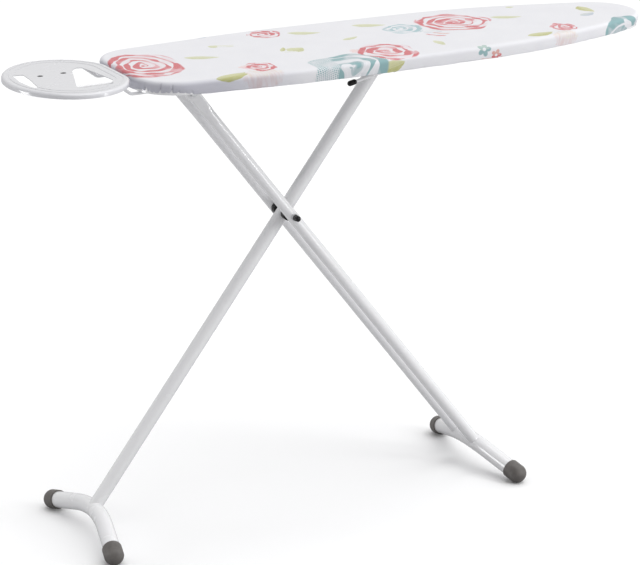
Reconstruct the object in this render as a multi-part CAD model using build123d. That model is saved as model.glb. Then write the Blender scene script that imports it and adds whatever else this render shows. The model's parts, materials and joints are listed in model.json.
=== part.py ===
from build123d import *
import os
from math import copysign, cos, radians, sin, tan

# Folding ironing board. Millimetres. +X runs from the iron rest to the nose of the board, +Z is up,
# and the origin is on the floor, under the centre of the object's box.

# ---- driving dimensions ----
OVERALL_LENGTH = 1324.0        # iron rest to nose
BOARD_LENGTH = 1109.0
TOP_HEIGHT = 895.0             # ironing surface above the floor, board fully raised
SKIRT_DEPTH = 27.0             # cover's turned-down side
LEG_LEAN = 37.63               # degrees of each leg from the vertical, board fully raised
CROSSING_HEIGHT = 579.0
PIVOT_HEIGHT = 845.0
FOOT_SPAN = 348.0              # from cap tip to cap tip

TWIN_TUBE_D = 22.0
TWIN_SPACING = 73.0            # between the two tubes' centre lines
SINGLE_TUBE_D = 26.0
FOOT_TUBE_D = 32.0
TUBE_WALL = 1.2
FOOT_ARM_SLOPE = 18.0          # degrees that each arm of a foot drops from its middle
FOOT_BEND_R = 230.0
FOOT_TURN = 1.7                # degrees that the single leg's foot sits off square
FOOT_SHIFT = 3.0               # and its distance off the tube's line
CAP_D = 37.0
CAP_GRIP = 24.0                # length of cap over the tube
CAP_DOME = 16.0

COVER_THICK = 1.0
FOAM_THICK = 6.0
MESH_THICK = 1.2
SHEET = 1.5                    # rolled rim and iron rest sheet
RIM_INSET = 3.5                # board edge to rim, taken by foam and cover
RIM_FLANGE = 11.5
RIM_BOTTOM = 869.5
BRACE_THICK = 3.0
BRACE_WIDTH = 40.0

PIN_R = 4.0                    # pivot axle, centre bolt and lock rod
RUNNING = 0.05                 # radial clearance of a pin in what turns on it
SIDE_GAP = 0.4                 # between faces that turn past each other

REST_LENGTH = 221.0            # full axes of the iron rest's oval
REST_WIDTH = 282.0
REST_GAP = 3.0                 # between the board's tail and the rest's flattened edge
REST_TOP = 893.0
REST_LIP = 9.5
REST_WIRE_D = 6.0
ARM_NEAR_Y = -72.0             # the two wires under the iron rest
ARM_FAR_Y = 81.0

# ---- derived places ----
TAIL_X = OVERALL_LENGTH / 2 - BOARD_LENGTH
LEAN = radians(LEG_LEAN)
CROSSING_X = TAIL_X + 331.5
ARM = (PIVOT_HEIGHT - CROSSING_HEIGHT) / cos(LEAN)      # crossing to each leg's top pivot
CROSSING = Vector(CROSSING_X, 0, CROSSING_HEIGHT)
TWIN_UP = Vector(-sin(LEAN), 0, cos(LEAN))
SINGLE_UP = Vector(sin(LEAN), 0, cos(LEAN))
TWIN_TOP = CROSSING + TWIN_UP * ARM
SINGLE_TOP = CROSSING + SINGLE_UP * ARM
TWIN_Y = TWIN_SPACING / 2
MESH_TOP = TOP_HEIGHT - COVER_THICK - FOAM_THICK
RIM_TOP = MESH_TOP - MESH_THICK
BRACE_TOP = RIM_TOP - SHEET
BRACE_BOTTOM = BRACE_TOP - BRACE_THICK
REST_X = -OVERALL_LENGTH / 2 + REST_LENGTH / 2

os.makedirs("parts", exist_ok=True)


def save(name, shape):
    export_step(shape, f"parts/{name}.step")


def both_sides(shape):
    """The shape and its mirror image across the XZ plane, as separate solids."""
    return Compound(children=[shape, mirror(shape, Plane.XZ)])


def group(solids):
    return Compound(children=solids)


def slab(x0, x1, y0, y1, z0, z1):
    return Pos((x0 + x1) / 2, (y0 + y1) / 2, (z0 + z1) / 2) * Box(x1 - x0, y1 - y0, z1 - z0)


def rod(start, end, radius):
    """A round bar from one point to another."""
    along = Vector(*end) - Vector(*start)
    place = Plane(origin=start, z_dir=along)
    return place * Cylinder(radius, along.length, align=(Align.CENTER, Align.CENTER, Align.MIN))


def cross_rod(centre, radius, y0, y1):
    """A round bar along Y through a point of the XZ plane."""
    return rod((centre.X, y0, centre.Z), (centre.X, y1, centre.Z), radius)


def ring(centre, outer, inner, y0, y1):
    return cross_rod(centre, outer, y0, y1) - cross_rod(centre, inner, y0 - 1, y1 + 1)


# ---- board outline ----
CORNER_R = 80.0                # tail corners
CORNER_Y = 69.7                # where the straight tail ends
SIDE = [(74.4, 149.5), (340, 171), (560, 166.5), (745, 159), (870, 137.5), (1048.5, 84.5)]
SIDE_CURVE = Spline(*[(TAIL_X + x, y) for x, y in SIDE], tangents=[(1, 0.07), (1, -0.34)])
SIDE_STEPS = 8


def board_outline(inset=0.0):
    """Plan of the board: straight tail, round tail corners, bowed sides and a round nose."""
    far = []
    for step in range(SIDE_STEPS + 1):
        heading = SIDE_CURVE % (step / SIDE_STEPS)
        far.append(SIDE_CURVE @ (step / SIDE_STEPS) + Vector(heading.Y, -heading.X) * inset)
    near = [Vector(point.X, -point.Y) for point in reversed(far)]
    tail, nose = TAIL_X + inset, TAIL_X + BOARD_LENGTH - inset
    reach = (CORNER_R - inset) * cos(radians(45))
    corner = Vector(TAIL_X + CORNER_R - reach, CORNER_Y + reach)
    start, end = SIDE_CURVE % 0, SIDE_CURVE % 1
    edges = [
        Line((tail, -CORNER_Y), (tail, CORNER_Y)),
        ThreePointArc((tail, CORNER_Y), corner, far[0]),
        Spline(*far, tangents=[start, end]),
        ThreePointArc(far[-1], (nose, 0), near[0]),
        Spline(*near, tangents=[(-end.X, end.Y), (-start.X, start.Y)]),
        ThreePointArc(near[-1], (corner.X, -corner.Y), (tail, -CORNER_Y)),
    ]
    return Face(Wire([edge for curve in edges for edge in curve.edges()]))


def outline_band(inset0, inset1, z0, z1):
    """A band that follows the board's edge, between two insets."""
    band = board_outline(inset0) - board_outline(inset1)
    return Pos(0, 0, z0) * extrude(band, amount=z1 - z0, dir=(0, 0, 1))


def outline_plate(inset, z0, z1):
    return Pos(0, 0, z0) * extrude(board_outline(inset), amount=z1 - z0, dir=(0, 0, 1))


# ---- board top ----
def rim_frame():
    wall = outline_band(RIM_INSET, RIM_INSET + SHEET, RIM_BOTTOM, RIM_TOP)
    upper = outline_band(RIM_INSET, RIM_INSET + RIM_FLANGE, BRACE_TOP, RIM_TOP)
    lower = outline_band(RIM_INSET, RIM_INSET + RIM_FLANGE, RIM_BOTTOM, RIM_BOTTOM + SHEET)
    return wall + upper + lower


def mesh_top():
    """Sheet steel pierced by staggered lozenges, with a plain margin all round."""
    pitch_x, pitch_y, hole_x, hole_y, margin = 42.0, 23.0, 30.0, 13.0, 20.0
    lozenge = make_face(Polyline((-hole_x / 2, 0), (0, hole_y / 2), (hole_x / 2, 0), (0, -hole_y / 2),
                                 close=True))
    limit = board_outline(margin + RIM_INSET)
    holes = []
    for column in range(int(BOARD_LENGTH / pitch_x) * 2):
        x = TAIL_X + margin + column * pitch_x / 2
        for row in range(-8, 9):
            y = (row + 0.5 * (column % 2)) * pitch_y
            corners = [(x + dx, y + dy) for dx, dy in ((-hole_x / 2, 0), (hole_x / 2, 0), (0, hole_y / 2),
                                                       (0, -hole_y / 2))]
            if all(limit.is_inside(Vector(cx, cy, 0)) for cx, cy in corners):
                holes.append(Pos(x, y) * lozenge)
    sheet = board_outline(RIM_INSET) - holes
    return Pos(0, 0, RIM_TOP) * extrude(sheet, amount=MESH_THICK, dir=(0, 0, 1))


BRACES = {
    "brace_tail": TAIL_X + 45,
    "brace_pivot": TWIN_TOP.X,
    "brace_middle": SINGLE_TOP.X - 20,
    "brace_nose": SINGLE_TOP.X + 275,
}


def brace(x):
    bar = slab(x - BRACE_WIDTH / 2, x + BRACE_WIDTH / 2, -200, 200, BRACE_BOTTOM, BRACE_TOP)
    return bar & outline_plate(RIM_INSET + SHEET, BRACE_BOTTOM, BRACE_TOP)


def rivets(places, z, head_r=4.0, length=4.5, shank_r=2.0):
    """Round-headed rivets pointing up, heads below z."""
    solids = []
    for x, y in places:
        head = Pos(x, y, z) * Sphere(head_r) & slab(x - 9, x + 9, y - 9, y + 9, z - 2.2, z)
        shank = rod((x, y, z - 0.5), (x, y, z + length), shank_r)
        solids.append(head + shank)
    return solids


def drilled(shape, places, radius=2.0):
    for x, y in places:
        shape -= rod((x, y, 800), (x, y, 900), radius)
    return shape


# ---- pivot of the twin leg ----
BRACKET_THICK = 2.5
EAR_INSIDE = 45.0
EAR_OUTSIDE = EAR_INSIDE + BRACKET_THICK
EAR_R = 15.0
FLAT_THICK = 8.0               # pressed-flat ends of the twin tubes
FLAT_WIDTH = 24.0
BRACKET_RIVETS = [(TWIN_TOP.X + dx, dy) for dx in (-12, 12) for dy in (-28, 28)]


def pivot_bracket():
    base = slab(TWIN_TOP.X - EAR_R, TWIN_TOP.X + EAR_R, -EAR_OUTSIDE, EAR_OUTSIDE,
                BRACE_BOTTOM - BRACKET_THICK, BRACE_BOTTOM)
    ear = slab(TWIN_TOP.X - EAR_R, TWIN_TOP.X + EAR_R, EAR_INSIDE, EAR_OUTSIDE, PIVOT_HEIGHT,
               BRACE_BOTTOM - BRACKET_THICK)
    ear += cross_rod(TWIN_TOP, EAR_R, EAR_INSIDE, EAR_OUTSIDE)
    bracket = base + ear + mirror(ear, Plane.XZ)
    bracket -= cross_rod(TWIN_TOP, PIN_R, -60, 60)
    return drilled(bracket, BRACKET_RIVETS)


def pivot_axle():
    return cross_rod(TWIN_TOP, PIN_R, -EAR_OUTSIDE - 4, EAR_OUTSIDE + 4)


def push_cap(centre, y0, y1, bore, radius=7.0):
    """Pressed-on retaining cap: a shallow disc with a bore to its mouth and a closed crown."""
    body = cross_rod(centre, radius, min(y0, y1), max(y0, y1))
    body = fillet(body.edges().filter_by(GeomType.CIRCLE), 0.8)
    return body - bore


def pivot_caps():
    axle = pivot_axle()
    return both_sides(push_cap(TWIN_TOP, EAR_OUTSIDE + 0.1, EAR_OUTSIDE + 5.5, axle))


def pivot_sleeve():
    reach = TWIN_Y - FLAT_THICK / 2 - SIDE_GAP
    return ring(TWIN_TOP, 7.0, PIN_R, -reach, reach)


# ---- height rack: the channel that the top of the single leg slides in ----
RACK_HALF = 18.0               # inside half-width
RACK_SHEET = 2.0
RACK_X0 = SINGLE_TOP.X - 40
RACK_X1 = SINGLE_TOP.X + 295
RACK_BOTTOM = 836.0
FOLD_STOP = 2.2                # degrees that the folded legs still stand off the board
FOLD_TRAVEL = 2 * ARM * (cos(radians(FOLD_STOP)) - sin(LEAN))
SLOT_HALF = PIN_R + 0.5
NOTCHES = 6
RACK_RIVETS = [(BRACES[name] + dx, dy) for name in ("brace_middle", "brace_nose")
               for dx in (-10, 10) for dy in (-10, 10)]


def height_rack():
    outside = RACK_HALF + RACK_SHEET
    outer = slab(RACK_X0, RACK_X1, -outside, outside, RACK_BOTTOM, BRACE_BOTTOM)
    hollow = slab(RACK_X0 - 1, RACK_X1 + 1, -RACK_HALF, RACK_HALF,
                  RACK_BOTTOM - 1, BRACE_BOTTOM - RACK_SHEET)
    rack = outer - hollow
    start, end = SINGLE_TOP.X, SINGLE_TOP.X + FOLD_TRAVEL
    rack -= slab(start, end, -30, 30, PIVOT_HEIGHT - SLOT_HALF, PIVOT_HEIGHT + SLOT_HALF)
    for x in (start, end):
        rack -= cross_rod(Vector(x, 0, PIVOT_HEIGHT), SLOT_HALF, -30, 30)
    for step in range(NOTCHES):
        x = start + step * FOLD_TRAVEL * 0.72 / (NOTCHES - 1)
        rack -= cross_rod(Vector(x, 0, PIVOT_HEIGHT + 5), SLOT_HALF, -30, 30)
    return drilled(rack, RACK_RIVETS)


# ---- iron rest ----
def rest_blank(inset, z0, z1):
    """Oval flattened where it meets the board's tail."""
    oval = Pos(REST_X, 0) * Ellipse(REST_LENGTH / 2 - inset, REST_WIDTH / 2 - inset)
    edge = TAIL_X - REST_GAP - inset
    oval &= Pos(edge - REST_LENGTH, 0) * Rectangle(2 * REST_LENGTH, 2 * REST_WIDTH)
    oval = fillet(oval.vertices().group_by(Axis.X)[-1], 60)
    return Pos(0, 0, z0) * extrude(oval, amount=z1 - z0)


def rest_opening(points, radius):
    corners = [(TAIL_X + x, y) for x, y in points]
    face = make_face(Polyline(*corners, close=True))
    face = fillet(face.vertices(), radius)
    return Pos(0, 0, REST_TOP - 40) * extrude(face, amount=60)


def rest_plate():
    """Pressed oval: a flat ring and bridge, a raised bead and a rolled-down lip."""
    shell = rest_blank(0, REST_TOP - REST_LIP, REST_TOP)
    shell = fillet(shell.faces().sort_by(Axis.Z)[-1].edges(), 6.0)
    inner = rest_blank(SHEET, REST_TOP - REST_LIP - 1, REST_TOP - SHEET)
    inner = fillet(inner.faces().sort_by(Axis.Z)[-1].edges(), 4.5)
    outer_opening = rest_opening(
        [(-187, 49), (-167, 47), (-169, 12), (-181, -72), (-190, -40), (-193, 0)], 4.5)
    inner_opening = rest_opening(
        [(-76, 36), (-63, 51), (-52, 48), (-46, 6), (-39, -62), (-51, -91), (-121, -94)], 6.0)
    plate = shell - inner - outer_opening - inner_opening
    for inset in BEAD_INSETS:
        groove = rest_blank(inset, REST_TOP - BEAD_DEPTH, REST_TOP + 1)
        plate -= groove - rest_blank(inset + BEAD_WIDTH, REST_TOP - 2, REST_TOP + 2)
    for x, y in REST_STUDS:
        plate -= rod((x, y, REST_TOP - 5), (x, y, REST_TOP + 5), STUD_R)
    return plate


REST_STUDS = [(TAIL_X - 144, 22), (TAIL_X - 98, 24)]
STUD_R = 5.4
BEAD_INSETS = (11.0, 24.0)     # pressed beads that run round the rest
BEAD_WIDTH = 2.2
BEAD_DEPTH = 0.5


def rest_studs():
    """Rubber studs snapped in the bridge, flush with it, each with a flange underneath."""
    solids = []
    for x, y in REST_STUDS:
        body = rod((x, y, REST_TOP - SHEET - 1.2), (x, y, REST_TOP - 0.2), STUD_R)
        flange = rod((x, y, REST_TOP - SHEET - 1.2), (x, y, REST_TOP - SHEET), STUD_R + 2)
        dimple = Pos(x, y, REST_TOP + 3.2) * Sphere(4.0)
        solids.append(body + flange - dimple)
    return solids


ARM_LOW = 864.2
ARM_HIGH = REST_TOP - SHEET - REST_WIRE_D / 2
ARM_BEND_X = TAIL_X - 8


def rest_arm(y):
    """Bent wire that carries the rest: under the board's tail, up at 37 degrees, under the plate."""
    rise_run = (ARM_HIGH - ARM_LOW) / tan(radians(37))
    route = FilletPolyline(
        (BRACES["brace_tail"] + 60, y, ARM_LOW),
        (ARM_BEND_X, y, ARM_LOW),
        (ARM_BEND_X - rise_run, y, ARM_HIGH),
        (REST_X - 60, y, ARM_HIGH),
        radius=12,
    )
    section = Plane(origin=route @ 0, z_dir=route % 0) * Circle(REST_WIRE_D / 2)
    return sweep(section, path=route)


CLIP_RIVETS = [(BRACES["brace_tail"], y + 13 * copysign(1, y)) for y in (ARM_NEAR_Y, ARM_FAR_Y)]


def rest_clip(y):
    """Saddle that hangs a rest arm from the tail brace."""
    x, half, out = BRACES["brace_tail"], 8.0, copysign(1, y)
    wire_r = REST_WIRE_D / 2
    side, strap, toe = (y + out * reach for reach in (wire_r, wire_r + 2, 20))
    hook = rod((x - half, y, ARM_LOW), (x + half, y, ARM_LOW), wire_r + 2)
    hook += slab(x - half, x + half, min(side, strap), max(side, strap), ARM_LOW, BRACE_BOTTOM)
    hook += slab(x - half, x + half, min(side, toe), max(side, toe), BRACE_BOTTOM - 2, BRACE_BOTTOM)
    hook -= rod((x - 30, y, ARM_LOW), (x + 30, y, ARM_LOW), wire_r)
    return drilled(hook, CLIP_RIVETS)


# ---- padding and cover ----
def cover():
    bottom = TOP_HEIGHT - SKIRT_DEPTH
    hem = 12.0
    top = outline_plate(0, TOP_HEIGHT - COVER_THICK, TOP_HEIGHT)
    skirt = outline_band(0, COVER_THICK, bottom, TOP_HEIGHT)
    return top + skirt + outline_band(0, hem, bottom, bottom + COVER_THICK)


def foam_pad():
    return outline_plate(COVER_THICK + 0.3, MESH_TOP, MESH_TOP + FOAM_THICK)


def hem_cord():
    """Drawn elastic that gathers the cover's hem under the rim."""
    return outline_band(16.0, 18.4, RIM_BOTTOM - 1.0, RIM_BOTTOM + 1.4)


# ---- feet ----
def foot_plane(middle, up, turn=0.0):
    """Local x is across the object, local y runs up the leg; turn is in degrees about the vertical."""
    across, normal = Vector(0, 1, 0), Vector(0, 1, 0).cross(up)
    return Plane(origin=middle, x_dir=across.rotate(Axis.Z, -turn), z_dir=normal.rotate(Axis.Z, -turn))


def arm_end():
    """Outer end of a foot's tube in the foot's own plane."""
    slope = radians(FOOT_ARM_SLOPE)
    y = FOOT_SPAN / 2 - (CAP_DOME + 2) * cos(slope)
    bend_gain = FOOT_BEND_R * (1 / cos(slope) - 1)
    return y, bend_gain - y * tan(slope), bend_gain


def foot_path():
    y, drop, peak = arm_end()
    return FilletPolyline((-y, drop), (0, peak), (y, drop), radius=FOOT_BEND_R)


def foot_bar(plane, radius):
    route = foot_path()
    section = Plane(origin=route @ 0, z_dir=route % 0) * Circle(radius)
    return plane * sweep(section, path=route)


def foot_tube(plane):
    return foot_bar(plane, FOOT_TUBE_D / 2) - foot_bar(plane, FOOT_TUBE_D / 2 - TUBE_WALL)


def foot_cap(plane, side):
    """Domed rubber cap, bored to grip the tube's end, with a rounded rim."""
    y, drop, _ = arm_end()
    slope = radians(FOOT_ARM_SLOPE)
    shoulder, r = 2.0, CAP_D / 2
    cap = Pos(0, 0, shoulder - CAP_GRIP / 2) * Cylinder(r, CAP_GRIP)
    cap = fillet(cap.edges().filter_by(GeomType.CIRCLE).sort_by(Axis.Z)[0], 1.0)
    dome_r = (r * r + CAP_DOME * CAP_DOME) / (2 * CAP_DOME)
    dome = Pos(0, 0, shoulder + CAP_DOME - dome_r) * Sphere(dome_r)
    cap += dome & Pos(0, 0, shoulder + CAP_DOME) * Box(2 * CAP_D, 2 * CAP_D, 2 * CAP_DOME)
    cap -= Pos(0, 0, -CAP_GRIP) * Cylinder(FOOT_TUBE_D / 2, 2 * CAP_GRIP)
    end = Plane(origin=(side * y, drop, 0), z_dir=(side * cos(slope), -sin(slope), 0))
    return plane * (end * cap)


def foot_middle(up):
    """Middle of a foot, on the leg's line, where its caps just reach the floor."""
    trial = foot_cap(foot_plane(Vector(0, 0, 0), up), 1)
    height = -trial.bounding_box().min.Z
    return CROSSING - up * ((CROSSING_HEIGHT - height) / up.Z)


TWIN_FOOT = foot_plane(foot_middle(TWIN_UP), TWIN_UP)
SINGLE_FOOT = foot_plane(foot_middle(SINGLE_UP) + Vector(FOOT_SHIFT, 0, 0), SINGLE_UP, FOOT_TURN)


# ---- legs ----
SLEEVE_R = 6.5                 # sleeves that the pins turn in
SLEEVE_REACH = SINGLE_TUBE_D / 2 + 0.3


def along(origin, up, y=0.0):
    """Plane across a leg: local x is across the object, local z runs up the leg."""
    return Plane(origin=origin + Vector(0, y, 0), x_dir=(0, 1, 0), z_dir=up)


def twin_section(wall):
    """Round tube whose top is pressed flat, as a solid reduced by wall all round."""
    flat_from, round_to = ARM - 38, ARM - 80
    round_part = Pos(0, 0, -800) * Cylinder(TWIN_TUBE_D / 2 - wall, 800 + round_to,
                                            align=(Align.CENTER, Align.CENTER, Align.MIN))
    thick, wide = FLAT_THICK - 2 * wall, FLAT_WIDTH - 2 * wall
    flat = Rot(0, 0, 90) * SlotOverall(wide, thick)
    blend = loft([Pos(0, 0, round_to) * Circle(TWIN_TUBE_D / 2 - wall), Pos(0, 0, flat_from) * flat])
    end = Pos(0, 0, flat_from) * extrude(flat, amount=ARM + 30 - flat_from)
    trim = Pos(0, 0, ARM) * Rot(0, 90, 0) * Cylinder(FLAT_WIDTH / 2, 60)
    trim += Pos(0, 0, (ARM + flat_from) / 2) * Box(60, FLAT_WIDTH + 2, ARM - flat_from)
    return round_part + blend + (end & trim)


def twin_tube(side):
    place = along(CROSSING, TWIN_UP, side * TWIN_Y)
    tube = place * (twin_section(0) - twin_section(TUBE_WALL))
    tube -= foot_bar(TWIN_FOOT, FOOT_TUBE_D / 2)
    tube -= leg_stub_below(TWIN_FOOT, TWIN_UP, side * TWIN_Y)
    tube -= cross_rod(TWIN_TOP, PIN_R + RUNNING, -60, 60)
    return tube - cross_rod(CROSSING, PIN_R, -60, 60)


def leg_stub_below(plane, up, y):
    """What a leg's tube would run on into, past the middle of its foot."""
    start = plane.origin + Vector(0, y, 0)
    return rod(tuple(start), tuple(start - up * 700), 30)


def single_tube():
    over = 16.0
    start = tuple(foot_middle(SINGLE_UP))
    end = tuple(SINGLE_TOP + SINGLE_UP * over)
    tube = rod(start, end, SINGLE_TUBE_D / 2) - rod(start, end, SINGLE_TUBE_D / 2 - TUBE_WALL)
    tube -= foot_bar(SINGLE_FOOT, FOOT_TUBE_D / 2)
    tube -= cross_rod(SINGLE_TOP, SLEEVE_R, -60, 60)
    return tube - cross_rod(CROSSING, SLEEVE_R, -60, 60)


# ---- centre joint ----
TWIN_OUTSIDE = TWIN_Y + TWIN_TUBE_D / 2
TWIN_INSIDE = TWIN_Y - TWIN_TUBE_D / 2


def leg_sleeve(centre):
    """Sleeve through the single tube that a pin turns in."""
    return ring(centre, SLEEVE_R, PIN_R + RUNNING, -SLEEVE_REACH, SLEEVE_REACH)


def centre_spacer():
    return ring(CROSSING, 12.5, PIN_R, SLEEVE_REACH + SIDE_GAP, TWIN_INSIDE)


def centre_collar():
    """Light collar under the nut on the near tube."""
    collar = ring(CROSSING, 7.0, PIN_R, -TWIN_OUTSIDE - 6, -TWIN_OUTSIDE + 2)
    return collar - rod_tube(-1)


def rod_tube(side):
    centre = CROSSING + Vector(0, side * TWIN_Y, 0)
    return rod(tuple(centre - TWIN_UP * 40), tuple(centre + TWIN_UP * 40), TWIN_TUBE_D / 2)


def centre_bolt():
    """Carriage bolt: low round head on the far tube, shank through to the near side."""
    shank = cross_rod(CROSSING, PIN_R, -TWIN_OUTSIDE - 15, TWIN_OUTSIDE)
    seat = cross_rod(CROSSING, 9.0, TWIN_OUTSIDE - 2, TWIN_OUTSIDE + 1.5) - rod_tube(1)
    crown = Pos(CROSSING.X, TWIN_OUTSIDE + 1.5 - 8, CROSSING.Z) * Sphere(12.0)
    crown &= slab(CROSSING.X - 9, CROSSING.X + 9, TWIN_OUTSIDE + 1.5, TWIN_OUTSIDE + 9, 500, 700)
    return shank + seat + crown


def centre_nut():
    """Domed nut with hexagonal flats."""
    face_y, depth, across = -TWIN_OUTSIDE - 6, 7.0, 11.0
    face = Plane(origin=(CROSSING.X, face_y, CROSSING.Z), z_dir=(0, -1, 0))
    hexagon = face * RegularPolygon(across / 2, 6, major_radius=False)
    nut = extrude(hexagon, amount=depth)
    nut += Pos(CROSSING.X, face_y - depth - 1, CROSSING.Z) * Sphere(across / 2)
    nut += cross_rod(CROSSING, across / 2, face_y - depth - 1, face_y - depth)
    return nut - centre_bolt()


# ---- slider and release lever ----
LEVER_Y = -56.0
LEVER_DROP = 11.5              # degrees that the lever hangs below level
LEVER_LENGTH = 88.0
LEVER_R = 3.2
TIP_R = 5.3
HUB_HALF = 4.0
LOCK_FAR = 27.0


def slider_block():
    """Nylon saddle inside the rack: two cheeks and a bridge over the end of the tube."""
    cheek_in, cheek_out = SLEEVE_REACH + SIDE_GAP, RACK_HALF - 0.4
    half, low, high = 12.0, SINGLE_TOP.Z - 10, SINGLE_TOP.Z + 26
    x0, x1 = SINGLE_TOP.X - half, SINGLE_TOP.X + half
    block = slab(x0, x1, -cheek_out, cheek_out, low, high)
    block -= slab(x0 - 1, x1 + 1, -cheek_in, cheek_in, low - 1, high - 3)
    return block - cross_rod(SINGLE_TOP, PIN_R, -60, 60)


def lock_rod():
    return cross_rod(SINGLE_TOP, PIN_R, LEVER_Y - HUB_HALF - 4, LOCK_FAR + 3)


def lock_rod_caps():
    near_y = LEVER_Y - HUB_HALF - SIDE_GAP
    near = push_cap(SINGLE_TOP, near_y - 5.5, near_y, lock_rod(), radius=5.4)
    far = push_cap(SINGLE_TOP, LOCK_FAR - 2, LOCK_FAR + 4.5, lock_rod())
    return [near, far]


def lever_direction():
    return Vector(-cos(radians(LEVER_DROP)), 0, -sin(radians(LEVER_DROP)))


def lever_arm():
    start = Vector(SINGLE_TOP.X, LEVER_Y, SINGLE_TOP.Z)
    hub = cross_rod(SINGLE_TOP, 6.0, LEVER_Y - HUB_HALF, LEVER_Y + HUB_HALF)
    arm = rod(tuple(start), tuple(start + lever_direction() * LEVER_LENGTH), LEVER_R)
    return hub + arm - cross_rod(SINGLE_TOP, PIN_R + RUNNING, -100, 60)


def lever_tip():
    """Pill-shaped grip pushed on the end of the lever."""
    end = Vector(SINGLE_TOP.X, LEVER_Y, SINGLE_TOP.Z) + lever_direction() * (LEVER_LENGTH + 4)
    inner = end - lever_direction() * 9
    pill = rod(tuple(inner), tuple(end), TIP_R) + Pos(*tuple(end)) * Sphere(TIP_R)
    pill += Pos(*tuple(inner)) * Sphere(TIP_R)
    return pill - lever_arm()


def lever_spring():
    """Torsion spring around the lock rod, between the rack and the lever."""
    turns, wire_r, coil_r, pitch = 7, 0.8, 5.6, 2.6
    height = turns * pitch
    route = Helix(pitch=pitch, height=height, radius=coil_r)
    section = Plane(origin=route @ 0, z_dir=route % 0) * Circle(wire_r)
    coil = sweep(section, path=route, is_frenet=True)
    start_y = LEVER_Y + HUB_HALF + 6
    place = Plane(origin=(SINGLE_TOP.X, start_y, SINGLE_TOP.Z), z_dir=(0, 1, 0))
    return place * coil


# ---- writing the parts ----
save("rim_frame", rim_frame())
save("mesh_top", mesh_top())
for name, x in BRACES.items():
    places = BRACKET_RIVETS + RACK_RIVETS + CLIP_RIVETS
    save(name, drilled(brace(x), [place for place in places if abs(place[0] - x) < BRACE_WIDTH / 2]))
save("pivot_bracket", pivot_bracket())
save("pivot_axle", pivot_axle())
save("pivot_caps", pivot_caps())
save("pivot_sleeve", pivot_sleeve())
save("bracket_rivets", group(rivets(BRACKET_RIVETS, BRACE_BOTTOM - BRACKET_THICK, length=5.0)))
save("height_rack", height_rack())
save("rack_rivets", group(rivets(RACK_RIVETS, BRACE_BOTTOM - RACK_SHEET)))
save("rest_plate", rest_plate())
save("rest_studs", group(rest_studs()))
save("rest_arm_far", rest_arm(ARM_FAR_Y))
save("rest_arm_near", rest_arm(ARM_NEAR_Y))
save("rest_clips", group([rest_clip(ARM_NEAR_Y), rest_clip(ARM_FAR_Y)]))
save("clip_rivets", group(rivets(CLIP_RIVETS, BRACE_BOTTOM - 2)))
save("foam_pad", foam_pad())
save("cover", cover())
save("hem_cord", hem_cord())

save("twin_tube_near", twin_tube(-1))
save("twin_tube_far", twin_tube(1))
save("twin_foot_bar", foot_tube(TWIN_FOOT))
save("twin_foot_cap_near", foot_cap(TWIN_FOOT, -1))
save("twin_foot_cap_far", foot_cap(TWIN_FOOT, 1))
save("centre_bolt", centre_bolt())
save("centre_nut", centre_nut())
save("centre_collar", centre_collar())
save("centre_spacers", both_sides(centre_spacer()))

save("single_tube", single_tube())
save("single_foot_bar", foot_tube(SINGLE_FOOT))
save("single_foot_cap_near", foot_cap(SINGLE_FOOT, -1))
save("single_foot_cap_far", foot_cap(SINGLE_FOOT, 1))
save("centre_sleeve", leg_sleeve(CROSSING))
save("top_sleeve", leg_sleeve(SINGLE_TOP))

save("slider_block", slider_block())
save("lock_rod", lock_rod())
save("lock_rod_caps", group(lock_rod_caps()))
save("lever_arm", lever_arm())
save("lever_tip", lever_tip())
save("lever_spring", lever_spring())
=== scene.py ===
import json
import math

import bmesh
import bpy
import numpy as np
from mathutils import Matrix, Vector
from mathutils.geometry import convex_hull_2d


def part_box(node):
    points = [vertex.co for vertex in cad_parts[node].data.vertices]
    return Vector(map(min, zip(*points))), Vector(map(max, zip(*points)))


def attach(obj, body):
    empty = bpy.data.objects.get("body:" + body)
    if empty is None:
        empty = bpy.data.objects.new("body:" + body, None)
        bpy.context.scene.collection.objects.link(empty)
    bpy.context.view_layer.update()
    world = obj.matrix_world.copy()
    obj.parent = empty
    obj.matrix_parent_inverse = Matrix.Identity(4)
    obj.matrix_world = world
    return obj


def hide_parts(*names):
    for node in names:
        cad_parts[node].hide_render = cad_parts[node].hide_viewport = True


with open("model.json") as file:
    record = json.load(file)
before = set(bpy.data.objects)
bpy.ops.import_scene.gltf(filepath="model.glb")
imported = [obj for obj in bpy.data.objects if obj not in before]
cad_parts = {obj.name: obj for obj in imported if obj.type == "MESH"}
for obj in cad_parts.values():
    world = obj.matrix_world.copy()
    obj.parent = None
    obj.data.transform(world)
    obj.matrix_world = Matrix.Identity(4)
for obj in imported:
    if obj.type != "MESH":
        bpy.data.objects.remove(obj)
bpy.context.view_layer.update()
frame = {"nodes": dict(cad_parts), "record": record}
NODES = frame["nodes"]
scene = bpy.context.scene
collection = scene.collection
rng = np.random.default_rng(20)


# ---- camera ----
def make_camera():
    """The photograph's camera, as fitted: a long lens with its frame shifted off the line of sight."""
    data = bpy.data.cameras.new("camera")
    data.sensor_width, data.lens = 36.0, 166.55
    data.shift_x, data.shift_y = -0.1004, -0.0744
    data.clip_end = 60
    camera = bpy.data.objects.new("camera", data)
    collection.objects.link(camera)
    camera.location = (-2.53225, -4.82825, 2.15894)
    aim = Vector((0.103, 0.0, 0.5)) - camera.location
    camera.rotation_euler = aim.to_track_quat("-Z", "Y").to_euler()
    scene.camera = camera


make_camera()


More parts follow.
